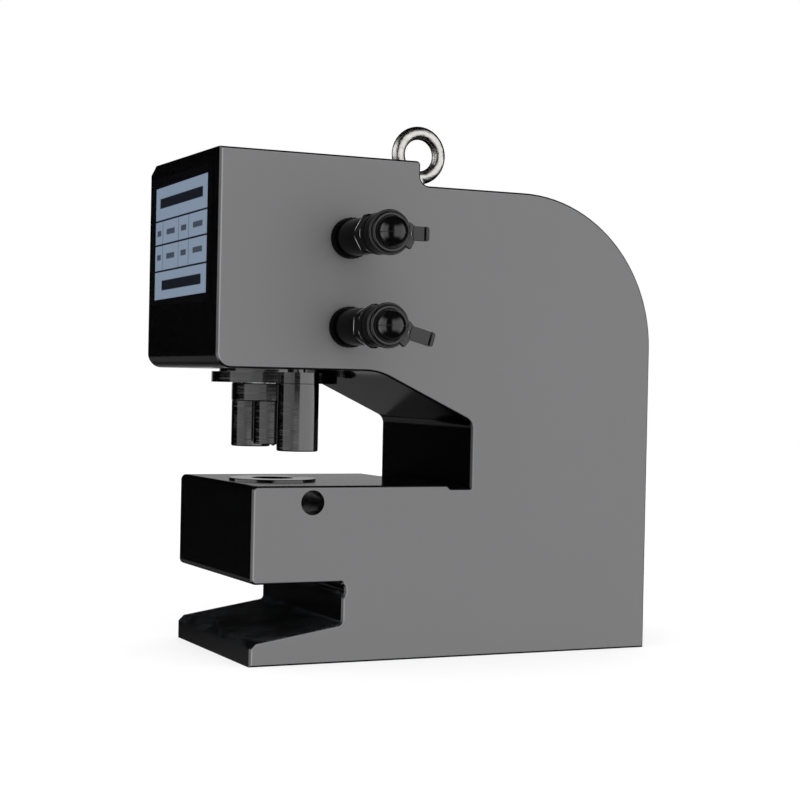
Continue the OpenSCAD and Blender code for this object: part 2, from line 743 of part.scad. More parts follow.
module valve_seal() color([0.08, 0.08, 0.08]) translate([0, 0, nose_end - mouth_wall - valve_seal_t])
    ring(chamber_d - 2 * fit_gap, mouth_d, valve_seal_t);

spring_z = body_at + body_thread_l + 2 * fit_gap;

// The closing spring, as one closed sleeve of its coil's outer and inner size
module valve_spring() color([0.6, 0.6, 0.6]) translate([0, 0, spring_z])
    ring(spring_d + spring_wire, spring_d - spring_wire, poppet_z - spring_z - 2 * fit_gap);

// The pull tab's outline, from the coupler's axis outwards
module tab_outline(reach) difference() {
    polygon([
        [0, -tab_root_w / 2], [cap_d / 2 - edge_break, -tab_root_w / 2],
        [cap_d / 2 + tab_root_l, -tab_w / 2], [reach, -tab_w / 2], [reach, tab_w / 2],
        [cap_d / 2 + tab_root_l, tab_w / 2], [cap_d / 2 - edge_break, tab_root_w / 2],
        [0, tab_root_w / 2]
    ]);
    for (sy = [-1, 1]) translate([reach - tab_end_r, sy * (tab_w / 2 - tab_end_r)])
        mirror([0, sy < 0 ? 1 : 0]) difference() {
            square(tab_end_r + over);
            circle(tab_end_r);
        }
}

module dust_cap(turn, reach) color([0.08, 0.08, 0.09]) rotate([0, 0, turn]) difference() {
    union() {
        rotate_extrude() polygon([
            [0, cap_at], [cap_d / 2 - edge_break / 2, cap_at], [cap_d / 2, cap_at + edge_break / 2],
            [cap_d / 2, cap_at + cap_flange_t - edge_break / 2],
            [cap_d / 2 - edge_break / 2, cap_at + cap_flange_t],
            [cap_step_d / 2, cap_at + cap_flange_t],
            [cap_step_d / 2 - edge_break, cap_at + cap_flange_t + cap_step_t],
            [dome_d / 2, cap_at + cap_flange_t + cap_step_t], [dome_d / 2, dome_at], [0, dome_at]
        ]);
        translate([0, 0, dome_at]) intersection() {
            sphere(d = dome_d);
            translate([0, 0, dome_d / 2]) cube(dome_d, center = true);
        }
        translate([0, 0, cap_at]) {
            linear_extrude(tab_t) tab_outline(reach);
            linear_extrude(tab_grip_t) intersection() {
                tab_outline(reach);
                translate([reach - tab_grip_l, -tab_w / 2]) square([tab_grip_l, tab_w]);
            }
            rotate([0, 0, -lug_turn]) translate([cap_step_d / 2 - edge_break, -lug_w / 2, 0])
                cube([(cap_d - cap_step_d) / 2 + edge_break + lug_reach, lug_w, lug_t]);
        }
    }
    translate([0, 0, cap_at - over])
        cylinder(d = nose_d + 2 * run_gap, h = nose_end - cap_at + edge_break + over);
    translate([0, 0, nose_end])
        cylinder(d = pin_d + 4 * edge_break, h = pin_l + edge_break);
    translate([cap_step_d / 2 + edge_break / 2, -tab_hole_w / 2, cap_at - over])
        cube([tab_hole_l, tab_hole_w, tab_t + 2 * over]);
}

module upper_port_adapter() on_port(port_up_z) port_adapter();
module upper_sealing_washer() on_port(port_up_z) sealing_washer();
module upper_knurled_collar() on_port(port_up_z) knurled_collar();
module upper_snap_ring() on_port(port_up_z) snap_ring();
module upper_coupler_body() on_port(port_up_z) coupler_body();
module upper_valve_poppet() on_port(port_up_z) valve_poppet();
module upper_valve_spring() on_port(port_up_z) valve_spring();
module upper_valve_seal() on_port(port_up_z) valve_seal();
module upper_dust_cap() on_port(port_up_z) dust_cap(0, tab_up_reach);

module lower_port_adapter() on_port(port_low_z) port_adapter();
module lower_sealing_washer() on_port(port_low_z) sealing_washer();
module lower_knurled_collar() on_port(port_low_z) knurled_collar();
module lower_snap_ring() on_port(port_low_z) snap_ring();
module lower_coupler_body() on_port(port_low_z) rotate([0, 0, hex_low_turn]) coupler_body();
module lower_valve_poppet() on_port(port_low_z) valve_poppet();
module lower_valve_spring() on_port(port_low_z) valve_spring();
module lower_valve_seal() on_port(port_low_z) valve_seal();
module lower_dust_cap() on_port(port_low_z) dust_cap(-tab_low_turn, tab_low_reach);

c_frame();
label_plate();
eye_bolt();
piston_rod();
piston_seal();
piston_guide_ring();
gland_nut();
gland_o_ring();
rod_seal();
rod_wiper();
gland_lock_screw();
punch_nut();
punch();
die();
die_lock_screw();
stripper_plate();
stripper_plate_screws();
stripper_post_near();
stripper_post_far();
stripper_post_screws();
upper_port_adapter();
upper_sealing_washer();
upper_knurled_collar();
upper_snap_ring();
upper_coupler_body();
upper_valve_poppet();
upper_valve_spring();
upper_valve_seal();
upper_dust_cap();
lower_port_adapter();
lower_sealing_washer();
lower_knurled_collar();
lower_snap_ring();
lower_coupler_body();
lower_valve_poppet();
lower_valve_spring();
lower_valve_seal();
lower_dust_cap();
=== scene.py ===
"""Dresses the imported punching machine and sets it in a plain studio.

Lengths are metres in the part's own frame: the origin lies where the punch axis meets the
base, +X runs to the back, +Z up, and the hose couplers stand out of the -Y side.
"""

import math

import bmesh
import bpy
import numpy as np
from bpy.props import FloatProperty, FloatVectorProperty, IntProperty, PointerProperty
from mathutils import Matrix, Vector


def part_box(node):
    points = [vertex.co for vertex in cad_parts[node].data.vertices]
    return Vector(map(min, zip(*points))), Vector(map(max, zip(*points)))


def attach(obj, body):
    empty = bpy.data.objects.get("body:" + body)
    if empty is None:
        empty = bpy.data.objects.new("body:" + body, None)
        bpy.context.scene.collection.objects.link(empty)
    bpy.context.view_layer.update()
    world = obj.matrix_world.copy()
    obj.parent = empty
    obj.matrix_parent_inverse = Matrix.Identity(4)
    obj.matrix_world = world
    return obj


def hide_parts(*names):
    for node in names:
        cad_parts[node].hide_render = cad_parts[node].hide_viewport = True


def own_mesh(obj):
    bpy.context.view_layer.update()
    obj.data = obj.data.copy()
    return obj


bl_info = {
    "name": "Hydraulic punching machine",
    "version": (1, 0, 0),
    "blender": (4, 5, 0),
    "location": "3D View > Sidebar > Punching machine",
    "description": "Finishes, couplers, stage and camera of a C-frame punching machine",
    "category": "Object",
}

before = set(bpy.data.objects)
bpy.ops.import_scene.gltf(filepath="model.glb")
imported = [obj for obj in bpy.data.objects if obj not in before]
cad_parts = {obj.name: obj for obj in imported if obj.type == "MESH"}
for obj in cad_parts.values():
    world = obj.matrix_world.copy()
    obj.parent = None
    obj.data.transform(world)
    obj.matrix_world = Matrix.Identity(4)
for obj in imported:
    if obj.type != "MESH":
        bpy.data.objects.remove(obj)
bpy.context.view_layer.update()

MM = 0.001
SIDE_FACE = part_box("c_frame")[0].y
COUPLERS = ("upper", "lower")
HEX_TURN = {"upper": 0.0, "lower": math.pi / 6}

# The label plate's print: its margins at the near side, the far side and both ends, its rise
# across the plate, and its table's lines, down from the field's head and across the frame.
NEAR_MARGIN, FAR_MARGIN, END_MARGIN = 4 * MM, 11.5 * MM, 7 * MM
PRINT_TILT = 0.0165
TABLE_ROWS = (30 * MM, 52 * MM, 76 * MM)
TABLE_COLUMNS = (-20 * MM, 8 * MM, 53 * MM)
LINE_WIDE = 1.1 * MM

# Its bars: how far the first and the last stand in from the field's two sides, then how far
# their two long edges lie from its head or foot. In a cell, the share that is left free at
# each side of the bar, and how far its long edges lie below the line above.
FIRST_BAR, LAST_BAR = (12 * MM, 12 * MM, 19 * MM, 10 * MM), (14 * MM, 20 * MM, 8 * MM, 17 * MM)
CELL_FREE, CELL_FOOT, CELL_HEAD = 0.24, 14 * MM, 9 * MM

# The studio's windows in degrees: where each starts and ends and how soft its ends are, by its
# bearing from the camera, with the right positive, or by its height above level.
LEVEL_BAND, LEVEL_FOOT = (-3.5, 1.2, 1.0), (-0.85, -0.6)
LEVEL_LEFT, LEVEL_GAP, LEVEL_RIGHT = (-84, -17, 4), (-17, 13, 5), (13, 106, 6)
TALL_LEFT, TALL_RIGHT, TALL_HEIGHT = (-112, -38, 10), (8, 98, 14), (-38, 38, 30)
FLOOR_BEARING, FLOOR_HEIGHT = (-150, -112, 10), (-8.7, -7.9)
BACKDROP_HALF, BACKDROP_HEIGHT, BACKDROP_FADE = (34, 20), (-50, 5, 8), (-0.3, 0.04)

# How bright they are, as shares of the tall pair, and what the backdrop has at its foot and
# gains above it.
LEFT_SHARE, GAP_SHARE, GAP_FOOT_SHARE, RIGHT_SHARE = 0.42, 0.02, 0.6, 0.95
FLOOR_SHARE = 0.035
BACKDROP_FOOT, BACKDROP_RISE = 0.09, 0.45


class Wire:
    """A value on its way through a finish. Arithmetic on it adds the Math nodes."""

    def __init__(self, finish, socket):
        self.finish = finish
        self.socket = socket

    def math(self, operation, *values):
        return self.finish.node(
            "ShaderNodeMath", {"operation": operation}, dict(enumerate(values))
        )

    def __add__(self, other):
        return self.math("ADD", self, other)

    def __sub__(self, other):
        return self.math("SUBTRACT", self, other)

    def __rsub__(self, other):
        return self.math("SUBTRACT", other, self)

    def __mul__(self, other):
        return self.math("MULTIPLY", self, other)

    def __abs__(self):
        return self.math("ABSOLUTE", self)

    def most(self, other):
        return self.math("MAXIMUM", self, other)

    def rise(self, low, high):
        """0 below low, 1 above high, and a smooth step between them."""
        return self.finish.node(
            "ShaderNodeMapRange",
            {"interpolation_type": "SMOOTHSTEP"},
            {"Value": self, "From Min": low, "From Max": high},
        )

    def within(self, low, high, soft):
        """1 between low and high, falling to 0 over the soft width at both ends."""
        return self.rise(low - soft / 2, low + soft / 2) * (
            1 - self.rise(high - soft / 2, high + soft / 2)
        )

    __radd__ = __add__
    __rmul__ = __mul__


class Finish:
    """A node tree being filled: every node comes from its one method, node."""

    def __init__(self, tree):
        self.tree = tree
        tree.nodes.clear()

    def node(self, kind, settings=None, inputs=None, output=0):
        """Adds a node, applies its settings, then gives its sockets their values or links."""
        made = self.tree.nodes.new(kind)
        for name, value in (settings or {}).items():
            setattr(made, name, value)
        for name, value in (inputs or {}).items():
            if isinstance(value, Wire):
                self.tree.links.new(value.socket, made.inputs[name])
            else:
                made.inputs[name].default_value = value
        if isinstance(output, tuple):
            return tuple(Wire(self, made.outputs[name]) for name in output)
        return Wire(self, made.outputs[output]) if made.outputs else None

    def place(self):
        return self.node("ShaderNodeTexCoord", output="Object")

    def split(self, vector):
        return self.node("ShaderNodeSeparateXYZ", inputs={0: vector}, output=(0, 1, 2))

    def noise(self, scale, detail=2.0, vector=None):
        """Smooth noise from 0 to 1 with scale lumps to the metre."""
        values = {"Vector": vector or self.place(), "Scale": scale, "Detail": detail}
        return self.node("ShaderNodeTexNoise", inputs=values, output="Fac")

    def blend(self, share, first, second):
        """The first colour where share is 0 and the second where it is 1."""
        values = {0: share, 6: first, 7: second}
        return self.node("ShaderNodeMix", {"data_type": "RGBA"}, values, 2)

    def tinted(self, share, colour, dark, light=1.0):
        """The colour times dark where share is 0, and times light where it is 1."""
        ends = [opaque([c * tone for c in colour]) for tone in (dark, light)]
        return self.blend(share, *ends)

    def bump(self, height, distance, strength=1.0):
        values = {"Height": height, "Distance": distance, "Strength": strength}
        return self.node("ShaderNodeBump", inputs=values, output="Normal")

    def close(self, **values):
        """Ends a material in one Principled shader with these sockets."""
        named = {name.replace("_", " ").title(): value for name, value in values.items()}
        if "Ior" in named:
            named["IOR"] = named.pop("Ior")
        shader = self.node("ShaderNodeBsdfPrincipled", inputs=named)
        self.node("ShaderNodeOutputMaterial", inputs={"Surface": shader})


def new_material(name):
    """A material of that name and the finish that fills it."""
    material = bpy.data.materials.new(name)
    material.use_nodes = True
    return material, Finish(material.node_tree)


def opaque(colour):
    return (*colour, 1.0)


def dress(node, material):
    """Gives a CAD node a finish through its object's own slots."""
    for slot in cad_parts[node].material_slots:
        slot.link = "OBJECT"
        slot.material = material


def enamel(look):
    """Gray satin enamel on the two side faces, gloss black on every other face of the frame.

    The sides are where the face's own normal lies along Y. The black is lumpy as sprayed
    enamel is, with fine grit in it, and carries a painted highlight, a light line along the
    side bevels. Dust lies in patches on the chute under the jaw.
    """
    material, coat = new_material("frame_enamel")
    normal = coat.node("ShaderNodeNewGeometry", output="True Normal")
    across, upward = coat.split(normal)[1:]
    y, z = coat.split(coat.place())[1:]
    side = abs(across).rise(0.93, 0.97)
    bevel = abs(across).within(0.6, 0.8, 0.05)
    # Painted highlight: a light line on the side bevels next to the side faces, standing in for the
    # light that the bevels reflect.
    painted_bevel_highlight = bevel * abs(y).rise(-SIDE_FACE - look.painted_bevel_width, -SIDE_FACE) * 0.9
    cloud = coat.noise(scale=7.0, detail=3.0)
    grit = coat.noise(scale=1500.0, detail=3.0)
    lumps = coat.noise(scale=330.0, detail=1.0)
    grey = coat.tinted(cloud, look.side_grey, 0.97, 1.03)
    flecks = grit.rise(0.66, 0.8) * coat.noise(scale=40.0).rise(0.45, 0.7)
    black = coat.blend(flecks, opaque(look.black), opaque(look.fleck))
    specks = coat.noise(scale=520.0, detail=3.0).rise(0.42, 0.64)
    dust = specks * coat.noise(scale=28.0).rise(0.36, 0.56)
    chute = upward.within(0.2, 0.99, 0.01) * (1 - z.rise(look.chute_top, look.chute_top * 1.2))
    dusty = coat.blend(dust * chute, black, opaque(look.dust))
    dark = coat.blend(painted_bevel_highlight, dusty, opaque(look.painted_bevel_light))
    rough = 0.14 + grit.rise(0.5, 0.8) * 0.14 + side * 0.46
    height = lumps * 0.5 + grit * 0.12
    coat.close(base_color=coat.blend(side, dark, grey), roughness=rough, ior=1.5,
               normal=coat.bump(height, distance=0.03 * MM, strength=0.6))
    return material


def rating_plate(look):
    """A silver field with a black border, ruled into rows and columns, with plain dark bars
    at its head, at its foot and in the table's cells.

    The print sits a little askew: its height is the plate's height plus a small share of
    the way across.
    """
    material, ink = new_material("label_foil")
    low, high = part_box("label_plate")
    wide, tall = ink.split(ink.place())[1:]
    tall = tall + (wide - low.y) * PRINT_TILT
    left, right = low.y + NEAR_MARGIN, high.y - FAR_MARGIN
    foot, head = low.z + END_MARGIN, high.z - END_MARGIN
    field = wide.within(left, right, 0.4 * MM) * tall.within(foot, head, 0.4 * MM)
    rows = [head - down for down in TABLE_ROWS]
    near, far, low_edge, high_edge = FIRST_BAR
    marks = bar(wide, tall, left + near, right - far, head - low_edge, head - high_edge)
    near, far, low_edge, high_edge = LAST_BAR
    last = bar(wide, tall, left + near, right - far, foot + low_edge, foot + high_edge)
    marks = marks.most(last)
    for row in rows:
        marks = marks.most(tall.within(row - LINE_WIDE, row + LINE_WIDE / 2, LINE_WIDE / 3))
    table = tall.within(rows[-1], rows[0], LINE_WIDE) * 0.75
    for column in TABLE_COLUMNS:
        half = LINE_WIDE / 2
        marks = marks.most(table * wide.within(column - half, column + half, half))
    cells = [left, *TABLE_COLUMNS, right]
    for row in rows[:-1]:
        for start, end in zip(cells, cells[1:]):
            free = (end - start) * CELL_FREE
            entry = bar(wide, tall, start + free, end - free, row - CELL_FOOT, row - CELL_HEAD)
            marks = marks.most(entry * 0.8)
    brushed = ink.noise(scale=900.0)
    silver = ink.tinted(brushed, look.label_silver, 0.85, 1.15)
    ground = ink.blend(field, opaque(look.label_border), silver)
    base = ink.blend(field * marks, ground, opaque(look.label_ink))
    ink.close(base_color=base, roughness=0.2 + field * 0.1, ior=1.15)
    return material


def bar(wide, tall, left, right, foot, head):
    """A plain filled rectangle between those four edges."""
    soft = 0.8 * MM
    return wide.within(left, right, soft) * tall.within(foot, head, soft)


def blackened_steel(name, look, grit_share=1.0, gloss=1.6):
    """Oiled black-oxide steel: a dark skin with specks and fine rings of turning marks.

    The rings are noise that changes fast along Z and hardly at all across it.
    """
    material, skin = new_material(name)
    specks = skin.noise(scale=1300.0, detail=4.0)
    patches = skin.noise(scale=60.0, detail=3.0)
    x, y, z = skin.split(skin.place())
    rings = skin.node("ShaderNodeCombineXYZ", inputs={0: x * 12, 1: y * 12, 2: z * 900})
    turning = skin.noise(scale=1.0, detail=3.0, vector=rings).rise(0.45, 0.7)
    rough = 0.05 + specks.rise(0.5, 0.85) * 0.1 * grit_share + turning * 0.12
    skin.close(base_color=skin.tinted(patches, look.oxide, 0.7), roughness=rough, ior=gloss,
               normal=skin.bump(specks, distance=0.01 * MM, strength=0.5 * grit_share))
    return material


def coupler_skin_and_glints(sizes, look):
    """The couplers' dull black skin, with painted glints on the hexagon's and ring's edges.

    The painted glints lie at set distances out from the side face, and noise breaks them up.
    """
    material, skin = new_material("coupler_skin_and_glints")
    out = SIDE_FACE - skin.split(skin.place())[1]
    start, end = sizes.hex_start, sizes.hex_start + sizes.hex_length
    front = sizes.nose_start
    # Painted glints: bright, mostly matt lines at the hexagon's two ends and at the nose's shoulder,
    # broken up by noise, standing in for reflections on the edges.
    painted_glint = out.within(start - 0.1 * MM, start + 1.3 * MM, 0.2 * MM)
    painted_glint = painted_glint.most(out.within(end - 0.7 * MM, end + 0.5 * MM, 0.2 * MM) * 0.8)
    painted_glint = painted_glint.most(out.within(front - 0.8 * MM, front, 0.2 * MM) * 0.4)
    painted_glint = painted_glint * skin.noise(scale=110.0).rise(0.38, 0.5)
    base = skin.blend(painted_glint, opaque(look.oxide), opaque(look.chrome))
    skin.close(base_color=base, metallic=painted_glint * 0.25, roughness=0.16 + painted_glint * 0.1, ior=1.12)
    return material


def plated(name, colour, roughness, pitting, pit_scale=500.0):
    """Bright metal plating with pits and a faint change of tone."""
    material, plate = new_material(name)
    pits = plate.noise(pit_scale, detail=4.0)
    tone = plate.noise(scale=90.0, detail=3.0)
    rough = roughness + pits.rise(0.5, 0.8) * 0.2
    plate.close(base_color=plate.tinted(tone, colour, 0.72), metallic=1.0, roughness=rough,
                normal=plate.bump(pits, pitting))
    return material


def moulded(name, colour, roughness):
    """Moulded plastic or rubber with a fine grain."""
    material, skin = new_material(name)
    fine = skin.noise(scale=2200.0, detail=3.0)
    cloud = skin.noise(scale=150.0)
    rough = roughness + fine * 0.08
    skin.close(base_color=skin.tinted(cloud, colour, 0.8, 1.2), roughness=rough, ior=1.33,
               normal=skin.bump(fine, distance=0.006 * MM, strength=0.4))
    return material


def signed_volume(points, faces):
    """The volume inside the faces, below zero where they point inwards: each quad is cut
    into two triangles, and each triangle adds a sixth of its corners' triple product."""
    corner = points[faces]
    total = 0.0
    for a, b, c in ((0, 1, 2), (0, 2, 3)):
        total += np.einsum("ij,ij->", corner[:, a], np.cross(corner[:, b], corner[:, c])) / 6
    return total


def grid_faces(rows, columns, wrap_rows, wrap_columns):
    """The quads between neighbouring points of a grid of rows and columns of points."""
    row = np.arange(rows if wrap_rows else rows - 1)[:, None]
    column = np.arange(columns if wrap_columns else columns - 1)[None, :]
    next_row = (row + 1) % rows
    next_column = (column + 1) % columns
    corners = [row * columns + column, row * columns + next_column,
               next_row * columns + next_column, next_row * columns + column]
    quads = [np.broadcast_to(corner, (row.size, column.size)) for corner in corners]
    return np.stack(quads, -1).reshape(-1, 4)


def surface(points, wrap_rows=True, wrap_columns=False):
    """The points and outward quads of one closed surface, from a grid of points."""
    rows, columns = points.shape[:2]
    faces = grid_faces(rows, columns, wrap_rows, wrap_columns)
    flat = points.reshape(-1, 3)
    if signed_volume(flat, faces) < 0:
        faces = faces[:, ::-1]
    return flat, faces


def new_piece(name, surfaces, material, body, crease=math.radians(35)):
    """One object from closed surfaces, with poles merged and smooth up to the crease."""
    starts = np.cumsum([0] + [len(points) for points, _ in surfaces])
    points = np.concatenate([points for points, _ in surfaces])
    faces = np.concatenate([quads + start for (_, quads), start in zip(surfaces, starts)])
    mesh = bpy.data.meshes.new(name)
    mesh.from_pydata(points, [], faces.tolist())
    shape = bmesh.new()
    shape.from_mesh(mesh)
    bmesh.ops.remove_doubles(shape, verts=shape.verts, dist=1e-6)
    shape.to_mesh(mesh)
    shape.free()
    mesh.shade_smooth()
    mesh.set_sharp_from_angle(angle=crease)
    mesh.materials.append(material)
    piece = bpy.data.objects.new(name, mesh)
    bpy.context.scene.collection.objects.link(piece)
    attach(piece, body)
    return piece


def rounded(corners, radius, steps=5):
    """A profile whose inner corners are rounded: each corner gives way to the curve that
    leaves it a radius before, bends by the square of the share gone, and meets it after."""
    corners = np.asarray(corners, float)
    share = np.linspace(0, 1, steps)[:, None]
    pieces = [corners[:1]]
    for before, corner, after in zip(corners, corners[1:], corners[2:]):
        ways = [before - corner, after - corner]
        cuts = [min(radius, np.linalg.norm(way) * 0.45) for way in ways]
        start, end = (corner + way / np.linalg.norm(way) * cut for way, cut in zip(ways, cuts))
        pieces.append((1 - share) ** 2 * start + 2 * share * (1 - share) * corner + share**2 * end)
    pieces.append(corners[-1:])
    return np.concatenate(pieces)


def port_axis(which):
    """Where a coupler's axis leaves the side face, from its collar's box."""
    low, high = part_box(f"{which}_knurled_collar")
    return (low.x + high.x) / 2, (low.z + high.z) / 2


def out_of_port(which, radius, angle, out):
    """Points at a radius and an angle about a coupler's axis, and a distance out from the
    side face: x adds the radius times the cosine, z the radius times the sine."""
    middle_x, middle_z = port_axis(which)
    shape = np.broadcast(radius, angle, out).shape
    across = np.broadcast_to(middle_x + radius * np.cos(angle), shape)
    along = np.broadcast_to(SIDE_FACE - out, shape)
    height = np.broadcast_to(middle_z + radius * np.sin(angle), shape)
    return np.stack([across, along, height], -1)


def full_turn(steps):
    """Angles all the way round a circle, at equal steps."""
    return np.linspace(0, 2 * math.pi, steps, endpoint=False)


def saw(value):
    """The distance to the nearest whole number, doubled, so it runs from 0 to 1 and back."""
    return np.abs(value - np.round(value)) * 2


def knurled_collar(which, sizes, material):
    """A collar with a coarse diamond knurl over straight flutes.

    Two families of grooves wind round it in opposite directions, and one more runs along
    it. A point's height is the mean of two: one less the larger of its saws across the
    winding families, which makes each diamond a small pyramid, and one less its saw across
    the straight one.
    """
    low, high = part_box(f"{which}_knurled_collar")
    back, front = SIDE_FACE - high.y, SIDE_FACE - low.y
    outer = (high.x - low.x) / 2
    inner = sizes.collar_bore / 2
    chamfer = sizes.collar_chamfer
    per_tooth, rows = 8, 64
    turns = np.linspace(0, 1, sizes.knurl_teeth * per_tooth, endpoint=False)
    along = np.linspace(back + chamfer, front - chamfer, rows)
    wind = along / (2 * math.pi * outer / sizes.knurl_teeth)
    ring = turns[:, None] * sizes.knurl_teeth
    diamonds = 1 - np.maximum(saw(ring + wind), saw(ring - wind))
    height = (diamonds + 1 - saw(ring)) / 2
    skin = outer - sizes.knurl_depth * (1 - height)
    edge = np.array([[inner, front], [inner, back], [outer - chamfer, back]])
    end = np.array([[outer - chamfer, front], [inner, front]])
    radius = np.concatenate([np.tile(edge[:, 0], (len(turns), 1)), skin,
                             np.tile(end[:, 0], (len(turns), 1))], 1)
    out = np.concatenate([edge[:, 1], along, end[:, 1]])[None, :]
    points = out_of_port(which, radius, turns[:, None] * 2 * math.pi, out)
    name = f"{which}_collar_knurling"
    piece = new_piece(name, [surface(points)], material, f"{which}_collar")
    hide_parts(f"{which}_knurled_collar")


def coupler_barrel(which, sizes, material):
    """A coupler's body: sleeve, hexagon, grooved ring and nose, with the bore inside.

    It is a closed profile of radius and distance out, turned about the axis. Along the
    hexagon the radius is the least of three: the hexagon's own, which is half its width
    over the cosine of the angle to the nearest flat, and a cone at each end. The corners
    are turned down to a share of their full radius.
    """
    low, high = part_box(f"{which}_coupler_body")
    back, tip = SIDE_FACE - high.y, SIDE_FACE - low.y
    sleeve, ring, nose = sizes.sleeve / 2, sizes.ring / 2, sizes.nose / 2
    flats = sizes.hex_flats / 2
    corner = flats / math.cos(math.pi / 6)
    start, end = sizes.hex_start, sizes.hex_start + sizes.hex_length
    shoulder = sizes.nose_start
    groove = end + (shoulder - end) / 3
    wide, deep, edge = sizes.groove_wide, sizes.groove_deep, sizes.edge
    hex_edge = flats - edge / 2
    corner_kept, soft, sunk = 0.985, 0.3 * MM, 0.01 * MM
    outer = rounded([
        (sizes.thread_bore / 2, back), (sleeve - edge, back), (sleeve, back + edge),
        (sleeve, start - edge), (sleeve - edge, start - edge / 2), (sleeve - edge, start),
        (hex_edge, start),
    ], soft)
    inside = np.linspace(start + sunk, end - sunk, 24)
    hexed = np.stack([np.full(inside.shape, corner), inside], -1)
    front = rounded([
        (hex_edge, end), (ring - edge, end), (ring, end + edge), (ring, groove),
        (ring - deep, groove + edge / 2), (ring - deep, groove + wide - edge / 2),
        (ring, groove + wide), (ring, shoulder - edge), (ring - edge, shoulder),
        (nose, shoulder), (nose, tip - edge), (nose - edge, tip), (sizes.mouth / 2, tip),
        (sizes.mouth / 2, tip - sizes.mouth_wall), (sizes.chamber / 2, tip - sizes.mouth_wall),
        (sizes.chamber / 2, sizes.chamber_start), (sizes.thread_bore / 2, sizes.chamber_start),
    ], soft)
    profile = np.concatenate([outer, hexed, front])
    angle = full_turn(192)[:, None]
    sector = np.mod(angle - HEX_TURN[which], math.pi / 3) - math.pi / 6
    out = profile[None, :, 1]
    cone = hex_edge + sizes.hex_cone * np.minimum(out - start, end - out)
    radius = np.broadcast_to(profile[None, :, 0], (angle.size, len(profile))).copy()
    in_hex = (out > start) & (out < end)
    hexagon = np.minimum(flats / np.cos(sector), corner * corner_kept)
    radius = np.where(in_hex, np.minimum(hexagon, cone), radius)
    points = out_of_port(which, radius, angle, out)
    piece = new_piece(f"{which}_coupler_turning", [surface(points, wrap_columns=True)], material,
                      "root", math.radians(28))
    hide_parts(f"{which}_coupler_body")


def valve_coil(which, sizes, material):
    """A valve's closing spring: a round wire wound about the coupler's axis.

    Each turn of the angle carries the wire one pitch further out. The wire's skin is a
    circle about that path, which adds its cosine to the radius and its sine to the distance
    out.
    """
    low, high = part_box(f"{which}_valve_spring")
    inner, outer = SIDE_FACE - high.y, SIDE_FACE - low.y
    half = sizes.spring_wire / 2
    middle = (high.x - low.x) / 2 - half
    per_turn = 40
    share = np.linspace(0, 1, sizes.spring_turns * per_turn)[:, None]
    round_wire = full_turn(12)[None, :]
    thick = np.full(share.shape, half)
    thick[[0, -1]] = 0
    path = inner + half + (outer - inner - 2 * half) * share
    angle = 2 * math.pi * sizes.spring_turns * share
    points = out_of_port(which, middle + thick * np.cos(round_wire), angle,
                         path + thick * np.sin(round_wire))
    wire = surface(points, wrap_rows=False, wrap_columns=True)
    piece = new_piece(f"{which}_valve_coil", [wire], material, "root",
                      math.radians(60))
    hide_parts(f"{which}_valve_spring")
    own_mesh(piece)


def foot_groove(radius, level, wide, slope, deep):
    """The corners of a groove in a face at that level, round the foot of a wall."""
    bottom = level - deep
    return [(radius + wide + slope, level), (radius + wide, bottom), (radius, bottom)]


def cap_shell(which, sizes):
    """The cap's turned body: a cup over the coupler's nose, a thin flange with a groove in
    its face, a step and a round dome. It is a profile of radius and distance out, turned
    about the coupler's axis, whose two ends lie on the axis."""
    low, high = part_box(f"{which}_dust_cap")
    back, tip = SIDE_FACE - high.y, SIDE_FACE - low.y
    rim, step, dome = sizes.cap_rim / 2, sizes.cap_step / 2, sizes.cap_dome / 2
    flange = back + sizes.cap_flange
    ledge = flange + sizes.cap_ledge
    middle = tip - dome
    nose, pin = sizes.cap_bore / 2, sizes.pin_recess / 2
    bevel, shoulder = 0.5 * MM, 0.7 * MM
    cup = rounded([
        (0, back + sizes.pin_depth), (pin, back + sizes.pin_depth), (pin, back + sizes.cap_depth),
        (nose, back + sizes.cap_depth), (nose, back), (rim, back), (rim, flange - bevel),
        (rim - bevel, flange), *foot_groove(step, flange, 0.6 * MM, 0.3 * MM, 0.4 * MM),
        (step, ledge - shoulder), (step - shoulder, ledge),
        *foot_groove(dome, ledge, 0.7 * MM, 0.4 * MM, 0.5 * MM), (dome, middle),
    ], 0.35 * MM)
    bend = np.linspace(0, math.pi / 2, 32)[1:]
    crown = np.stack([dome * np.cos(bend), middle + dome * np.sin(bend)], -1)
    crown[-1, 0] = 0
    profile = np.concatenate([cup, crown])
    angle = full_turn(128)[:, None]
    return surface(out_of_port(which, profile[None, :, 0], angle, profile[None, :, 1]))


def rounded_block(centre, half, squareness=6.0, count=32):
    """A block with soft edges: a ball whose sine and cosine are raised to a small power, so
    that it fills its box."""
    turn = np.linspace(-math.pi, math.pi, count * 2, endpoint=False)[:, None]
    rise = np.linspace(-math.pi / 2, math.pi / 2, count)[None, :]

    def soft(value):
        return np.sign(value) * np.abs(value) ** (2 / squareness)

    across = soft(np.cos(rise)) * soft(np.cos(turn))
    up = soft(np.cos(rise)) * soft(np.sin(turn))
    out = np.broadcast_to(soft(np.sin(rise)), across.shape)
    return np.stack([across * half[0], up * half[1], out * half[2]], -1) + np.asarray(centre)


def turned(grid, turn):
    """Points given as along, across and out, turned about the coupler's axis."""
    along, across, out = grid[..., 0], grid[..., 1], grid[..., 2]
    radius = np.hypot(along, across)
    angle = np.arctan2(across, along) + turn
    return radius, angle, out


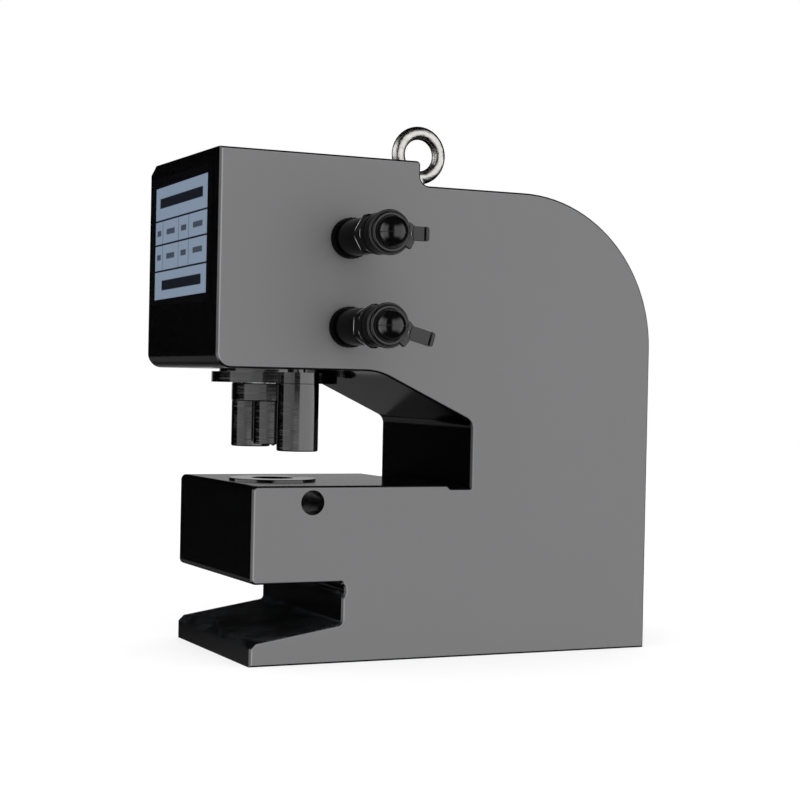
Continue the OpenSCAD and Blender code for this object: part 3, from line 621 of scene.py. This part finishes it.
def strap(start, end, low_edge, high_edge, back, front, soft, count=48):
    """A strap from start to end. Its two edges and its front face are functions of the
    place along it. Its section is a rounded rectangle, and both ends close on a point. The
    sections stand closer towards the ends: their places go by the cosine of half a turn."""
    along = start + (end - start) * (1 - np.cos(np.linspace(0, math.pi, count))) / 2
    square = rounded([(0.5, 0), (1, 0), (1, 1), (0, 1), (0, 0), (0.5, 0)], soft, 4)[:-1]
    low, high, top = low_edge(along), high_edge(along), front(along)
    across = low[:, None] + (high - low)[:, None] * square[None, :, 0]
    out = back + (top - back)[:, None] * square[None, :, 1]
    body = np.stack([np.broadcast_to(along[:, None], across.shape), across, out], -1)
    ends = [body[k].mean(0, keepdims=True).repeat(body.shape[1], 0)[None] for k in (0, -1)]
    return np.concatenate([ends[0], body, ends[1]])


def pull_tab(which, sizes, reach, turn):
    """The pull tab and the finger lug beside it. The tab is a waisted strap with a slot at
    its root, round corners and a raised lip at its end: its half width is the waist, less
    what the corners' circle takes off, and the lip is half an ellipse on its front face.
    The circle is kept a little open, so that the sides stay apart at the very end."""
    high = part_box(f"{which}_dust_cap")[1]
    back = SIDE_FACE - high.y
    rim, step = sizes.cap_rim / 2, sizes.cap_step / 2
    root, waist = sizes.tab_root / 2, sizes.tab_wide / 2
    overlap, root_depth = 0.5 * MM, 3 * MM
    waist_from, waist_length = rim - 1.5 * MM, 6 * MM
    hole_start = step + overlap
    hole_end = hole_start + sizes.tab_hole
    hole = sizes.tab_hole_wide / 2
    corner, kept_open = sizes.tab_corner, 0.96
    lip = sizes.tab_lip / 2

    def edge(along):
        share = np.clip((along - waist_from) / waist_length, 0, 1)
        waisted = root + (waist - root) * share * share * (3 - 2 * share)
        past = np.clip(along - (reach - corner), 0, corner)
        return waisted - corner + np.sqrt(corner**2 - past**2 * kept_open)

    def front(along):
        share = np.clip((along - (reach - lip)) / lip, -1, 1)
        return back + sizes.tab_thick + sizes.tab_lip_rise * np.sqrt(1 - share**2)

    parts = [
        (step - root_depth, hole_start, lambda a: -edge(a), edge),
        (hole_start - overlap, hole_end + overlap, lambda a: -edge(a), lambda a: a * 0 - hole),
        (hole_start - overlap, hole_end + overlap, lambda a: a * 0 + hole, edge),
        (hole_end, reach, lambda a: -edge(a), edge),
    ]
    grids = [strap(*part, back, front, soft=0.12) for part in parts]
    lug_from, lug_to = step - 2 * MM, rim + sizes.lug_reach
    lug = rounded_block(((lug_from + lug_to) / 2, 0, back + sizes.lug_thick / 2),
                        ((lug_to - lug_from) / 2, sizes.lug_wide / 2, sizes.lug_thick / 2))
    surfaces = [surface(out_of_port(which, *turned(grid, turn)), wrap_rows=False, wrap_columns=True)
                for grid in grids]
    surfaces.append(surface(out_of_port(which, *turned(lug, turn - sizes.lug_turn))))
    return surfaces


def camera_frame(view):
    """The camera's axes and place. Back points from the target to the camera, at the turn
    from -Y and the lift above level, and the roll turns right towards up about it."""
    back = Vector((math.sin(view.turn) * math.cos(view.lift),
                   -math.cos(view.turn) * math.cos(view.lift), math.sin(view.lift)))
    level = Vector((math.cos(view.turn), math.sin(view.turn), 0))
    upright = back.cross(level)
    right = level * math.cos(view.roll) + upright * math.sin(view.roll)
    up = upright * math.cos(view.roll) - level * math.sin(view.roll)
    place = Vector(view.target) + back * view.distance
    return Matrix((right, up, back)).transposed(), place


def studio_sky(stage, view):
    """White for the camera, even light for matt surfaces and a dark room for gloss.

    The dark room holds windows, placed by their bearing from the camera round the machine
    and their height above level: one pair for what stands out, one band for upright
    cylinders, the bright floor that the foot reflects, and a backdrop behind the machine
    that fades below level.
    """
    world = bpy.data.worlds.new("studio_sky")
    world.use_nodes = True
    world.cycles.sampling_method = "NONE"
    sky = Finish(world.node_tree)
    x, y, z = sky.split(sky.node("ShaderNodeTexCoord", output="Generated"))
    ahead = (math.sin(view.turn), -math.cos(view.turn))
    across = (math.cos(view.turn), math.sin(view.turn))
    towards = x * ahead[0] + y * ahead[1]
    right = x * across[0] + y * across[1]
    bearing = x.math("ARCTAN2", right, towards) * math.degrees(1)
    height = z.math("ARCSINE", z) * math.degrees(1)
    level = height.within(*LEVEL_BAND)
    gap = GAP_SHARE + (1 - height.rise(*LEVEL_FOOT)) * GAP_FOOT_SHARE
    band = bearing.within(*LEVEL_LEFT) * LEFT_SHARE + bearing.within(*LEVEL_GAP) * gap
    band = band + bearing.within(*LEVEL_RIGHT) * RIGHT_SHARE
    tall = (bearing.within(*TALL_LEFT) + bearing.within(*TALL_RIGHT)) * height.within(*TALL_HEIGHT)
    ground = bearing.within(*FLOOR_BEARING) * (1 - height.rise(*FLOOR_HEIGHT))
    windows = level * band + (1 - level) * tall + ground * FLOOR_SHARE
    behind = (towards * -1).rise(*(math.cos(math.radians(half)) for half in BACKDROP_HALF))
    fade = BACKDROP_FOOT + z.rise(*BACKDROP_FADE) * BACKDROP_RISE
    backdrop = behind * fade * height.within(*BACKDROP_HEIGHT)
    room = stage.room_light + windows * stage.window_light + backdrop * stage.backdrop_light
    camera, glossy = sky.node("ShaderNodeLightPath", output=("Is Camera Ray", "Is Glossy Ray"))
    seen = glossy * room + (1 - glossy) * stage.even_light
    strength = camera + (1 - camera) * seen
    shade = sky.node("ShaderNodeBackground", inputs={"Color": (1, 1, 1, 1), "Strength": strength})
    sky.node("ShaderNodeOutputWorld", inputs={"Surface": shade})
    bpy.context.scene.world = world


def lay_floor(stage):
    """A square of pale paper with a glow, which takes a thin shadow and isn't reflected."""
    half = stage.floor_side / 2
    corners = [(x * half, y * half, 0) for x, y in ((-1, -1), (1, -1), (1, 1), (-1, 1))]
    mesh = bpy.data.meshes.new("floor")
    mesh.from_pydata(corners, [], [(0, 1, 2, 3)])
    material, paper = new_material("floor_paper")
    paper.close(base_color=opaque([stage.floor_tone] * 3), roughness=0.9,
                emission_color=(1, 1, 1, 1), emission_strength=stage.floor_glow)
    mesh.materials.append(material)
    floor = bpy.data.objects.new("floor", mesh)
    floor.visible_glossy = False
    bpy.context.scene.collection.objects.link(floor)


def hang_lamp(stage):
    """One large round lamp, which isn't reflected either."""
    lamp = bpy.data.lights.new("key_lamp", "AREA")
    lamp.shape = "DISK"
    lamp.size = stage.lamp_size
    lamp.energy = stage.key_light
    key = bpy.data.objects.new("key_lamp", lamp)
    key.location = stage.lamp_place
    way = Vector(stage.lamp_aim) - key.location
    key.rotation_euler = way.to_track_quat("-Z", "Y").to_euler()
    key.visible_glossy = False
    bpy.context.scene.collection.objects.link(key)


def millimetres(name, description, length):
    """A length as a setting, given in millimetres."""
    return FloatProperty(name=name, description=description, default=length * MM, unit="LENGTH")


def paint(name, description, *colour):
    """A colour as a setting, in linear light."""
    return FloatVectorProperty(name=name, description=description, default=colour,
                               subtype="COLOR", min=0, max=1)


def degrees(name, description, turn):
    """An angle as a setting, given in degrees."""
    return FloatProperty(name=name, description=description, default=math.radians(turn),
                         unit="ROTATION")


def number(name, description, value):
    """A plain number as a setting."""
    return FloatProperty(name=name, description=description, default=value)


def spot(name, description, *metres):
    """A place as a setting, in metres."""
    return FloatVectorProperty(name=name, description=description, default=metres,
                               subtype="TRANSLATION", unit="LENGTH")


class FinishColours(bpy.types.PropertyGroup):
    """Colours of the machine's finishes, and how far the painted highlight on its bevels and its
    dust reach.
    """

    side_grey: paint("Side grey", "Enamel on the two side faces", 0.116, 0.116, 0.119)
    black: paint("Black", "Gloss enamel on the frame's other faces", 0.0006, 0.0006, 0.0008)
    fleck: paint("Fleck", "Flecks of grit in the black enamel", 0.012, 0.0125, 0.014)
    # The colour and the width of the painted highlight, a light line along the side bevels.
    painted_bevel_light: paint("Worn edge", "Where the enamel has worn thin along a bevel", 0.26, 0.26, 0.27)
    painted_bevel_width: millimetres("Worn width", "Width of the worn line, measured across the frame", 1.3)
    dust: paint("Dust", "Dust on the chute", 0.032, 0.035, 0.041)
    chute_top: millimetres("Chute top", "Height below which dust lies", 80)
    label_silver: paint("Label silver", "The label plate's field", 0.195, 0.25, 0.33)
    label_border: paint("Label border", "The label plate's border", 0.002, 0.002, 0.0025)
    label_ink: paint("Label ink", "The label plate's lines and bars", 0.006, 0.007, 0.012)
    oxide: paint("Black oxide", "Blackened tooling steel", 0.0012, 0.0012, 0.0014)
    zinc: paint("Zinc", "Plating of the lifting eye", 0.3, 0.296, 0.28)
    # Also the colour of the painted glints on the couplers' edges, which are painted highlights, not
    # rubbed metal.
    chrome: paint("Bright steel", "Valve springs and rubbed edges of the couplers", 0.75, 0.75, 0.76)
    cap_black: paint("Cap black", "Plastic of the dust caps", 0.0022, 0.0022, 0.0024)
    rod_chrome: paint("Rod chrome", "Hard chrome on the ram", 0.72, 0.73, 0.75)
    brass: paint("Brass", "Sealing washers and valve poppets", 0.62, 0.45, 0.17)
    rubber: paint("Rubber", "Seals in the head", 0.015, 0.015, 0.016)
    guide_resin: paint("Guide resin", "The piston's guide ring", 0.16, 0.07, 0.03)
    seal_resin: paint("Seal resin", "Seals of the valves", 0.02, 0.02, 0.022)


class CouplerSizes(bpy.types.PropertyGroup):
    """Sizes of the hose couplers: collars, bodies, valve springs and dust caps."""

    knurl_teeth: IntProperty(
        name="Knurl teeth", description="Diamonds round a collar", default=30, min=20, max=90)
    knurl_depth: millimetres("Knurl depth", "Depth of the knurl's grooves", 1.6)
    collar_bore: millimetres("Collar bore", "Bore of a knurled collar", 30.16)
    collar_chamfer: millimetres("Collar chamfer", "Chamfer at both ends of a collar", 0.8)
    sleeve: millimetres("Sleeve", "Diameter of a coupler's sleeve behind the hexagon", 32)
    hex_start: millimetres("Hexagon start", "From the side face to the hexagon", 50)
    hex_length: millimetres("Hexagon length", "Length of the hexagon", 11.5)
    hex_flats: millimetres("Hexagon flats", "Width across the hexagon's flats", 33)
    hex_cone: number("Hexagon cone", "Rise of the turned chamfer over its length", 1.7)
    ring: millimetres("Ring", "Diameter of the ring in front of the hexagon", 35.5)
    nose_start: millimetres("Nose start", "From the side face to the coupler's nose", 82)
    nose: millimetres("Nose", "Diameter of the coupler's nose", 22)
    groove_wide: millimetres("Groove width", "Width of the groove round the ring", 2)
    groove_deep: millimetres("Groove depth", "Depth of the groove round the ring", 1)
    edge: millimetres("Edge break", "Chamfer on the coupler's turned edges", 0.8)
    mouth: millimetres("Mouth", "Diameter of the valve's mouth in the nose", 9)
    mouth_wall: millimetres("Mouth wall", "Thickness of the nose's end wall", 4)
    chamber: millimetres("Chamber", "Bore of the valve's chamber", 15)
    chamber_start: millimetres("Chamber start", "From the side face to the valve's chamber", 48.95)
    thread_bore: millimetres("Thread bore", "Bore for the port adapter's thread", 20.3)
    spring_wire: millimetres("Spring wire", "Thickness of a valve spring's wire", 1.2)
    spring_turns: IntProperty(
        name="Spring turns", description="Turns of a valve spring", default=6, min=3, max=8)
    poppet_travel: millimetres("Poppet travel", "How far a poppet is pushed in", 4)
    cap_rim: millimetres("Cap rim", "Diameter of a dust cap's flange", 38)
    cap_flange: millimetres("Cap flange", "Thickness of a dust cap's flange", 2.5)
    cap_step: millimetres("Cap step", "Diameter of the step between flange and dome", 33.5)
    cap_ledge: millimetres("Cap ledge", "Height of the step between flange and dome", 2.4)
    cap_dome: millimetres("Cap dome", "Diameter of a dust cap's dome", 26)
    cap_bore: millimetres("Cap bore", "Bore of a dust cap over the coupler's nose", 22.16)
    cap_depth: millimetres("Cap depth", "Depth of the bore in a dust cap", 9.6)
    pin_recess: millimetres("Pin recess", "Width of the recess that clears the valve's pin", 9)
    pin_depth: millimetres("Pin depth", "Depth of the recess that clears the valve's pin", 14.6)
    tab_thick: millimetres("Tab thickness", "Thickness of a pull tab", 2.5)
    tab_wide: millimetres("Tab width", "Width of a pull tab past its root", 12)
    tab_root: millimetres("Tab root", "Width of a pull tab at the flange", 18)
    tab_corner: millimetres("Tab corner", "Radius of a pull tab's outer corners", 2.5)
    tab_hole: millimetres("Slot length", "Length of the slot in a pull tab's root", 3.6)
    tab_hole_wide: millimetres("Slot width", "Width of the slot in a pull tab's root", 3)
    tab_lip: millimetres("Lip length", "Length of the raised lip at a pull tab's end", 4.5)
    tab_lip_rise: millimetres("Lip rise", "How far the lip stands above the tab", 1.6)
    lug_wide: millimetres("Lug width", "Width of the finger lug beside the tab", 8)
    lug_thick: millimetres("Lug thickness", "Thickness of the finger lug", 4)
    lug_reach: millimetres("Lug reach", "How far the finger lug stands out of the flange", 3.5)
    lug_turn: degrees("Lug turn", "How far the finger lug lies below the tab", 27)
    upper_reach: millimetres("Upper tab reach", "From the axis to the upper tab's end", 35.5)
    lower_reach: millimetres("Lower tab reach", "From the axis to the lower tab's end", 43.3)
    lower_turn: degrees("Lower tab turn", "How far the lower tab is turned from level", -15)


class StageSettings(bpy.types.PropertyGroup):
    """The floor and the light."""

    floor_side: millimetres("Floor side", "Side of the square floor", 9000)
    room_light: number("Room light", "Brightness of the dark room in reflections", 0.003)
    floor_tone: number("Floor tone", "How much of the light the floor gives back", 0.42)
    floor_glow: number("Floor glow", "Light that the floor gives, which thins the shadow", 0.6)
    window_light: number("Window light", "Brightness of the windows in reflections", 3.0)
    backdrop_light: number("Backdrop light", "Brightness of the backdrop in reflections", 1.0)
    even_light: number("Even light", "Brightness of the room for matt surfaces", 1.08)
    key_light: number("Key light", "Power of the large lamp, in watts", 12.0)
    lamp_size: millimetres("Lamp size", "Diameter of the large lamp", 1600)
    lamp_place: spot("Lamp place", "Where the large lamp hangs", -0.6, -1.8, 2.0)
    lamp_aim: spot("Lamp aim", "The point that the large lamp lights", 0.1, 0.0, 0.2)


class ViewSettings(bpy.types.PropertyGroup):
    """The camera's place and lens."""

    turn: degrees("Turn", "Bearing of the camera from -Y, towards +X", -25.342)
    lift: degrees("Lift", "Height of the camera above level", 0.569)
    roll: degrees("Roll", "Roll of the camera about its line of sight", 1.179)
    distance: millimetres("Distance", "From the target to the camera", 1687.1)
    target: spot("Target", "The point at the middle of the picture", 0.1266, 0.0, 0.2281)
    lens: number("Lens", "Focal length in millimetres on a 36 mm sensor", 80.93)


class PUNCH_OT_enamel_frame(bpy.types.Operator):
    """Sprays the C-frame in black and gray enamel"""

    bl_idname = "punch.enamel_frame"
    bl_label = "Enamel the frame"

    def execute(self, context):
        dress("c_frame", enamel(context.scene.punch_colours))
        return {"FINISHED"}


class PUNCH_OT_print_label(bpy.types.Operator):
    """Prints the label plate's ruled grid"""

    bl_idname = "punch.print_label"
    bl_label = "Print the label plate"

    def execute(self, context):
        dress("label_plate", rating_plate(context.scene.punch_colours))
        return {"FINISHED"}


class PUNCH_OT_plate_eye(bpy.types.Operator):
    """Plates the lifting eye in zinc"""

    bl_idname = "punch.plate_eye"
    bl_label = "Plate the lifting eye"

    def execute(self, context):
        colour = context.scene.punch_colours.zinc
        zinc = plated("zinc_steel", colour, roughness=0.26, pitting=0.5 * MM, pit_scale=260.0)
        dress("eye_bolt", zinc)
        return {"FINISHED"}


class PUNCH_OT_blacken_tooling(bpy.types.Operator):
    """Blackens the stripper, its posts, the punch, its nut and the die"""

    bl_idname = "punch.blacken_tooling"
    bl_label = "Blacken the tooling"

    def execute(self, context):
        look = context.scene.punch_colours
        black = blackened_steel("black_steel", look)
        for node in ("stripper_plate", "stripper_post_near", "stripper_post_far", "punch_nut",
                     "gland_nut"):
            dress(node, black)
        dress("punch", blackened_steel("tool_steel", look, grit_share=1.6))
        dress("die", blackened_steel("die_steel", look, grit_share=0.8))
        screws = blackened_steel("screw_steel", look, grit_share=0.5)
        for node in ("stripper_plate_screws", "stripper_post_screws", "die_lock_screw",
                     "gland_lock_screw"):
            dress(node, screws)
        return {"FINISHED"}


class PUNCH_OT_finish_cylinder(bpy.types.Operator):
    """Finishes the ram and the seals inside the head"""

    bl_idname = "punch.finish_cylinder"
    bl_label = "Finish the cylinder's pieces"

    def execute(self, context):
        look = context.scene.punch_colours
        chrome = plated("ground_chrome", look.rod_chrome, roughness=0.14, pitting=0.03 * MM)
        dress("piston_rod", chrome)
        rubber = moulded("seal_rubber", look.rubber, roughness=0.5)
        for node in ("piston_seal", "gland_o_ring", "rod_seal", "rod_wiper"):
            dress(node, rubber)
        dress("piston_guide_ring", moulded("guide_resin", look.guide_resin, roughness=0.45))
        return {"FINISHED"}


class PUNCH_OT_knurl_collars(bpy.types.Operator):
    """Cuts the diamond knurl on both collars and blackens the port adapters"""

    bl_idname = "punch.knurl_collars"
    bl_label = "Knurl the collars"

    def execute(self, context):
        look = context.scene.punch_colours
        black = blackened_steel("coupler_black", look, grit_share=0.8, gloss=1.12)
        for which in COUPLERS:
            knurled_collar(which, context.scene.punch_couplers, black)
            dress(f"{which}_port_adapter", black)
        return {"FINISHED"}


class PUNCH_OT_finish_couplers(bpy.types.Operator):
    """Turns the coupler bodies, winds the valve springs and finishes the small pieces"""

    bl_idname = "punch.finish_couplers"
    bl_label = "Finish the couplers"

    def execute(self, context):
        look = context.scene.punch_colours
        steel = plated("valve_steel", look.chrome, roughness=0.15, pitting=0.04 * MM)
        skin = coupler_skin_and_glints(context.scene.punch_couplers, look)
        brass = plated("washer_brass", look.brass, roughness=0.25, pitting=0.04 * MM)
        resin = moulded("seal_resin", look.seal_resin, roughness=0.4)
        for which in COUPLERS:
            coupler_barrel(which, context.scene.punch_couplers, skin)
            valve_coil(which, context.scene.punch_couplers, steel)
            dress(f"{which}_snap_ring", skin)
            for part in ("sealing_washer", "valve_poppet"):
                dress(f"{which}_{part}", brass)
            dress(f"{which}_valve_seal", resin)
        return {"FINISHED"}


class PUNCH_OT_mould_caps(bpy.types.Operator):
    """Moulds both dust caps with their pull tabs"""

    bl_idname = "punch.mould_caps"
    bl_label = "Mould the dust caps"

    def execute(self, context):
        sizes = context.scene.punch_couplers
        plastic = moulded("cap_plastic", context.scene.punch_colours.cap_black, roughness=0.1)
        for which in COUPLERS:
            reach = sizes.upper_reach if which == "upper" else sizes.lower_reach
            turn = 0.0 if which == "upper" else sizes.lower_turn
            surfaces = [cap_shell(which, sizes), *pull_tab(which, sizes, reach, turn)]
            piece = new_piece(f"{which}_cap_moulding", surfaces, plastic, f"{which}_cap")
            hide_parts(f"{which}_dust_cap")
        return {"FINISHED"}


class PUNCH_OT_set_stage(bpy.types.Operator):
    """Lays the floor and hangs the lights"""

    bl_idname = "punch.set_stage"
    bl_label = "Set the stage"

    def execute(self, context):
        stage = context.scene.punch_stage
        studio_sky(stage, context.scene.punch_view)
        lay_floor(stage)
        hang_lamp(stage)
        context.scene.view_settings.view_transform = "Standard"
        return {"FINISHED"}


class PUNCH_OT_aim_camera(bpy.types.Operator):
    """Puts the camera where the view settings say"""

    bl_idname = "punch.aim_camera"
    bl_label = "Aim the camera"

    def execute(self, context):
        view = context.scene.punch_view
        lens = bpy.data.cameras.new("camera")
        lens.lens = view.lens
        lens.sensor_width = 36
        axes, place = camera_frame(view)
        camera = bpy.data.objects.new("camera", lens)
        camera.matrix_world = Matrix.Translation(place) @ axes.to_4x4()
        context.scene.collection.objects.link(camera)
        context.scene.camera = camera
        return {"FINISHED"}


OPERATORS = (
    PUNCH_OT_aim_camera,
    PUNCH_OT_set_stage,
    PUNCH_OT_enamel_frame,
    PUNCH_OT_print_label,
    PUNCH_OT_plate_eye,
    PUNCH_OT_blacken_tooling,
    PUNCH_OT_finish_cylinder,
    PUNCH_OT_knurl_collars,
    PUNCH_OT_finish_couplers,
    PUNCH_OT_mould_caps,
)


class PUNCH_PT_machine(bpy.types.Panel):
    """Lists the steps that dress the machine"""

    bl_idname = "PUNCH_PT_machine"
    bl_label = "Punching machine"
    bl_space_type = "VIEW_3D"
    bl_region_type = "UI"
    bl_category = "Punching machine"

    def draw(self, context):
        for operator in OPERATORS:
            self.layout.operator(operator.bl_idname)


GROUPS = {
    "punch_colours": FinishColours,
    "punch_couplers": CouplerSizes,
    "punch_stage": StageSettings,
    "punch_view": ViewSettings,
}


def register():
    for group in GROUPS.values():
        bpy.utils.register_class(group)
    for name, group in GROUPS.items():
        setattr(bpy.types.Scene, name, PointerProperty(type=group))
    for operator in OPERATORS:
        bpy.utils.register_class(operator)
    bpy.utils.register_class(PUNCH_PT_machine)


def unregister():
    bpy.utils.unregister_class(PUNCH_PT_machine)
    for operator in reversed(OPERATORS):
        bpy.utils.unregister_class(operator)
    for name in GROUPS:
        delattr(bpy.types.Scene, name)
    for group in reversed(GROUPS.values()):
        bpy.utils.unregister_class(group)


def main():
    register()
    for operator in OPERATORS:
        family, step = operator.bl_idname.split(".")
        getattr(getattr(bpy.ops, family), step)()


if __name__ == "__main__":
    main()
